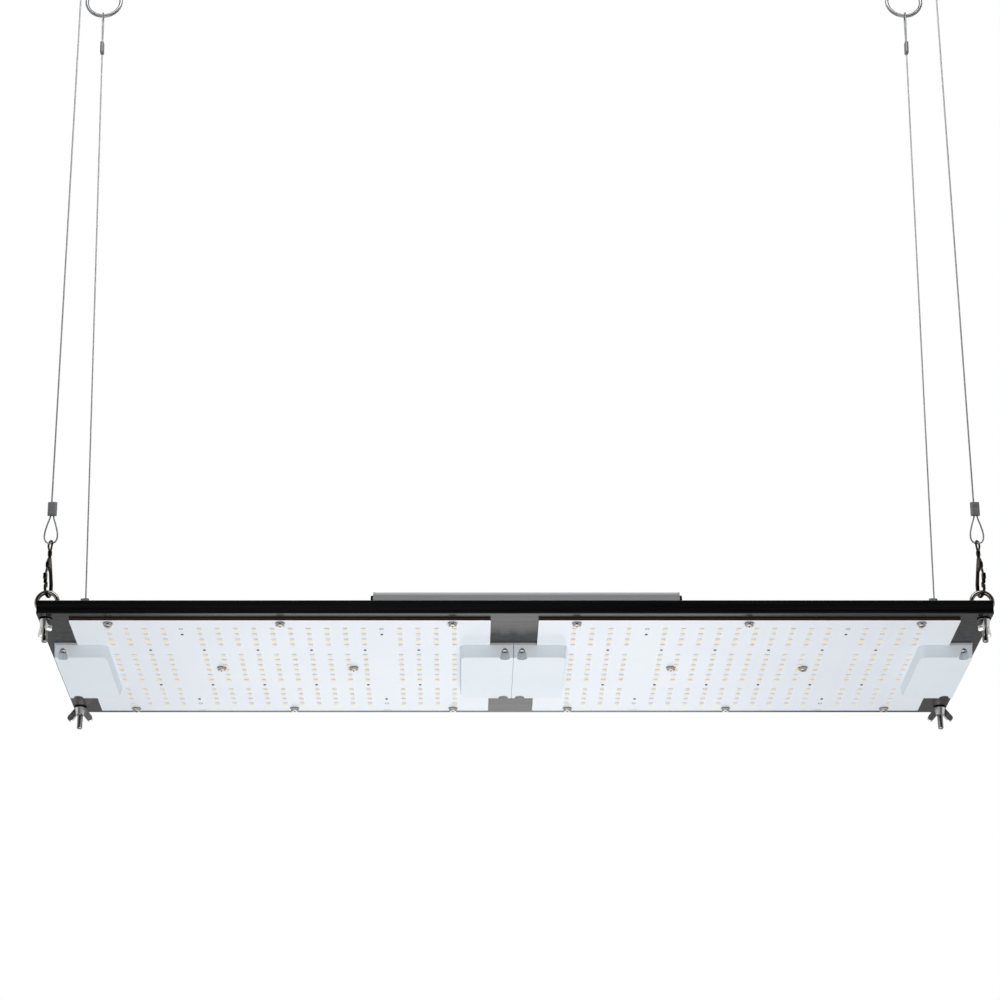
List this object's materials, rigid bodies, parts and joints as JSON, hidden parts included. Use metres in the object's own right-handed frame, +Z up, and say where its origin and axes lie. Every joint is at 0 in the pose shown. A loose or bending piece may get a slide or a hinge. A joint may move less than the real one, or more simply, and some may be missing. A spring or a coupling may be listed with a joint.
{
  "type": "led grow light",
  "caption": "Hanging LED grow light: black tray heat sink with white LED boards below, driver on top, corner eye bolts, wing nuts, snap hooks and wire ropes on rings.",
  "frame": {"origin": "below the middle of the heat sink plate, at the height of the eye bolts' lower tips", "axes": "+X along the plate, +Y across it from front to rear, +Z up towards the hanging rings"},
  "size_m": [0.692, 0.195, 0.6495],
  "materials": {
    "anodised_sink": "black anodised, fine extrusion lines, semi-gloss",
    "solder_mask": "white solder mask, glossy",
    "led_package": "yellow phosphor in a white package",
    "chip_part": "matt",
    "cover_plastic": "moulded, satin",
    "nickel_screw": "nickel plated",
    "clear_washer": "natural nylon",
    "terminal_plastic": "moulded",
    "core_insulation": "smooth insulation",
    "lead_jacket": "satin black jacket",
    "rubber_bush": "matt",
    "driver_aluminium": "silver grey, fine lines",
    "black_screw": "black oxide",
    "circuit_laminate": "green solder mask",
    "ferrite": "matt",
    "gland_nylon": "moulded",
    "eye_bolt_steel": "dark bright nickel",
    "plated_steel": "bright zinc plated",
    "gunmetal": "black nickel, glossy",
    "steel_rope": "stranded",
    "ferrule_metal": "pressed, dull",
    "ring_steel": "welded, plated"
  },
  "bodies": {
    "hangers": {"rings_left": "ring_steel", "rings_right": "ring_steel"},
    "front_ropes": {"swivel_eye_front_left": "gunmetal", "hang_wire_front_left": "steel_rope", "ferrules_front_left": "ferrule_metal", "swivel_eye_front_right": "gunmetal", "hang_wire_front_right": "steel_rope", "ferrules_front_right": "ferrule_metal"},
    "rear_ropes": {"swivel_eye_rear_left": "gunmetal", "hang_wire_rear_left": "steel_rope", "ferrules_rear_left": "ferrule_metal", "swivel_eye_rear_right": "gunmetal", "hang_wire_rear_right": "steel_rope", "ferrules_rear_right": "ferrule_metal"},
    "light": {"heat_sink": "anodised_sink", "board_left": "solder_mask", "board_right": "solder_mask", "leds_left": "led_package", "leds_right": "led_package", "board_components": "chip_part", "cover_left_outer": "cover_plastic", "cover_left_inner": "cover_plastic", "cover_right_inner": "cover_plastic", "cover_right_outer": "cover_plastic", "cover_screws": "nickel_screw", "board_screws": "nickel_screw", "board_screw_washers": "clear_washer", "terminal_blocks": "terminal_plastic", "jumper_leads": "core_insulation", "output_lead": "lead_jacket", "lead_grommet": "rubber_bush", "driver_case": "driver_aluminium", "driver_cap_left": "driver_aluminium", "driver_cap_right": "driver_aluminium", "driver_cap_screws": "black_screw", "driver_mount_screws": "black_screw", "driver_circuit_board": "circuit_laminate", "driver_transformer": "ferrite", "mains_gland": "gland_nylon", "output_gland": "gland_nylon", "eye_bolt_front_left": "eye_bolt_steel", "eye_bolt_front_right": "eye_bolt_steel", "eye_bolt_rear_left": "eye_bolt_steel", "eye_bolt_rear_right": "eye_bolt_steel"},
    "washer_front_left": {"washer_front_left": "plated_steel"},
    "wing_nut_front_left": {"wing_nut_front_left": "plated_steel"},
    "snap_hook_front_left": {"snap_hook_front_left": "gunmetal"},
    "snap_trigger_front_left": {"snap_trigger_front_left": "gunmetal"},
    "washer_front_right": {"washer_front_right": "plated_steel"},
    "wing_nut_front_right": {"wing_nut_front_right": "plated_steel"},
    "snap_hook_front_right": {"snap_hook_front_right": "gunmetal"},
    "snap_trigger_front_right": {"snap_trigger_front_right": "gunmetal"},
    "washer_rear_left": {"washer_rear_left": "plated_steel"},
    "wing_nut_rear_left": {"wing_nut_rear_left": "plated_steel"},
    "snap_hook_rear_left": {"snap_hook_rear_left": "gunmetal"},
    "snap_trigger_rear_left": {"snap_trigger_rear_left": "gunmetal"},
    "washer_rear_right": {"washer_rear_right": "plated_steel"},
    "wing_nut_rear_right": {"wing_nut_rear_right": "plated_steel"},
    "snap_hook_rear_right": {"snap_hook_rear_right": "gunmetal"},
    "snap_trigger_rear_right": {"snap_trigger_rear_right": "gunmetal"}
  },
  "joints": [
    {"name": "light_sway", "type": "hinge", "parent": "hangers", "child": "front_ropes", "pos_m": [0, -0.0869, 0.62], "axis": [1, 0, 0], "range_deg": [-20, 20]},
    {"name": "light_level", "type": "hinge", "parent": "front_ropes", "child": "light", "pos_m": [0, -0.0869, 0.03565], "axis": [1, 0, 0], "range_deg": [-20, 20]},
    {"name": "rear_rope_sway", "type": "hinge", "parent": "hangers", "child": "rear_ropes", "pos_m": [0, 0.0869, 0.62], "axis": [1, 0, 0], "range_deg": [-20, 20]},
    {"name": "nut_travel_front_left", "type": "slide", "parent": "light", "child": "washer_front_left", "axis": [0, 0, -1], "range_m": [0, 0.0098]},
    {"name": "nut_spin_front_left", "type": "hinge", "parent": "washer_front_left", "child": "wing_nut_front_left", "pos_m": [-0.3125, -0.0869, 0.0128], "axis": [0, 0, -1], "range_deg": [0, 5040]},
    {"name": "hook_swivel_front_left", "type": "hinge", "parent": "front_ropes", "child": "snap_hook_front_left", "pos_m": [-0.31277, -0.0869, 0.0541], "axis": [-0.0137, 0, 0.9999], "range_deg": [-5, 35]},
    {"name": "trigger_front_left", "type": "hinge", "parent": "snap_hook_front_left", "child": "snap_trigger_front_left", "pos_m": [-0.31328, -0.08873, 0.05489], "axis": [0.9658, -0.2588, 0.0132], "range_deg": [0, 19], "stiffness_Nm_per_rad": 0.02, "springref_deg": -20.05},
    {"name": "nut_travel_front_right", "type": "slide", "parent": "light", "child": "washer_front_right", "axis": [0, 0, -1], "range_m": [0, 0.0098]},
    {"name": "nut_spin_front_right", "type": "hinge", "parent": "washer_front_right", "child": "wing_nut_front_right", "pos_m": [0.3125, -0.0869, 0.0128], "axis": [0, 0, -1], "range_deg": [0, 5040]},
    {"name": "hook_swivel_front_right", "type": "hinge", "parent": "front_ropes", "child": "snap_hook_front_right", "pos_m": [0.31277, -0.0869, 0.0541], "axis": [0.0137, 0, 0.9999], "range_deg": [-35, 5]},
    {"name": "trigger_front_right", "type": "hinge", "parent": "snap_hook_front_right", "child": "snap_trigger_front_right", "pos_m": [0.31328, -0.08873, 0.05489], "axis": [0.9658, 0.2588, -0.0132], "range_deg": [0, 19], "stiffness_Nm_per_rad": 0.02, "springref_deg": -20.05},
    {"name": "nut_travel_rear_left", "type": "slide", "parent": "light", "child": "washer_rear_left", "axis": [0, 0, -1], "range_m": [0, 0.0098]},
    {"name": "nut_spin_rear_left", "type": "hinge", "parent": "washer_rear_left", "child": "wing_nut_rear_left", "pos_m": [-0.3125, 0.0869, 0.0128], "axis": [0, 0, -1], "range_deg": [0, 5040]},
    {"name": "hook_swivel_rear_left", "type": "hinge", "parent": "rear_ropes", "child": "snap_hook_rear_left", "pos_m": [-0.31311, 0.0869, 0.05409], "axis": [-0.0307, 0, 0.9995], "range_deg": [-35, 5]},
    {"name": "trigger_rear_left", "type": "hinge", "parent": "snap_hook_rear_left", "child": "snap_trigger_rear_left", "pos_m": [-0.31363, 0.08873, 0.05488], "axis": [-0.9655, -0.2588, -0.0297], "range_deg": [0, 19], "stiffness_Nm_per_rad": 0.02, "springref_deg": -20.05},
    {"name": "nut_travel_rear_right", "type": "slide", "parent": "light", "child": "washer_rear_right", "axis": [0, 0, -1], "range_m": [0, 0.0098]},
    {"name": "nut_spin_rear_right", "type": "hinge", "parent": "washer_rear_right", "child": "wing_nut_rear_right", "pos_m": [0.3125, 0.0869, 0.0128], "axis": [0, 0, -1], "range_deg": [0, 5040]},
    {"name": "hook_swivel_rear_right", "type": "hinge", "parent": "rear_ropes", "child": "snap_hook_rear_right", "pos_m": [0.31311, 0.0869, 0.05409], "axis": [0.0307, 0, 0.9995], "range_deg": [-5, 35]},
    {"name": "trigger_rear_right", "type": "hinge", "parent": "snap_hook_rear_right", "child": "snap_trigger_rear_right", "pos_m": [0.31363, 0.08873, 0.05488], "axis": [-0.9655, 0.2588, 0.0297], "range_deg": [0, 19], "stiffness_Nm_per_rad": 0.02, "springref_deg": -20.05}
  ],
  "couplings": [
    {"joint": "light_level", "follows": "light_sway", "ratio": -1},
    {"joint": "rear_rope_sway", "follows": "light_sway", "ratio": 1},
    {"joint": "nut_travel_front_left", "follows": "nut_spin_front_left", "m_per_rad": 0.00011141},
    {"joint": "nut_travel_front_right", "follows": "nut_spin_front_right", "m_per_rad": 0.00011141},
    {"joint": "nut_travel_rear_left", "follows": "nut_spin_rear_left", "m_per_rad": 0.00011141},
    {"joint": "nut_travel_rear_right", "follows": "nut_spin_rear_right", "m_per_rad": 0.00011141}
  ]
}
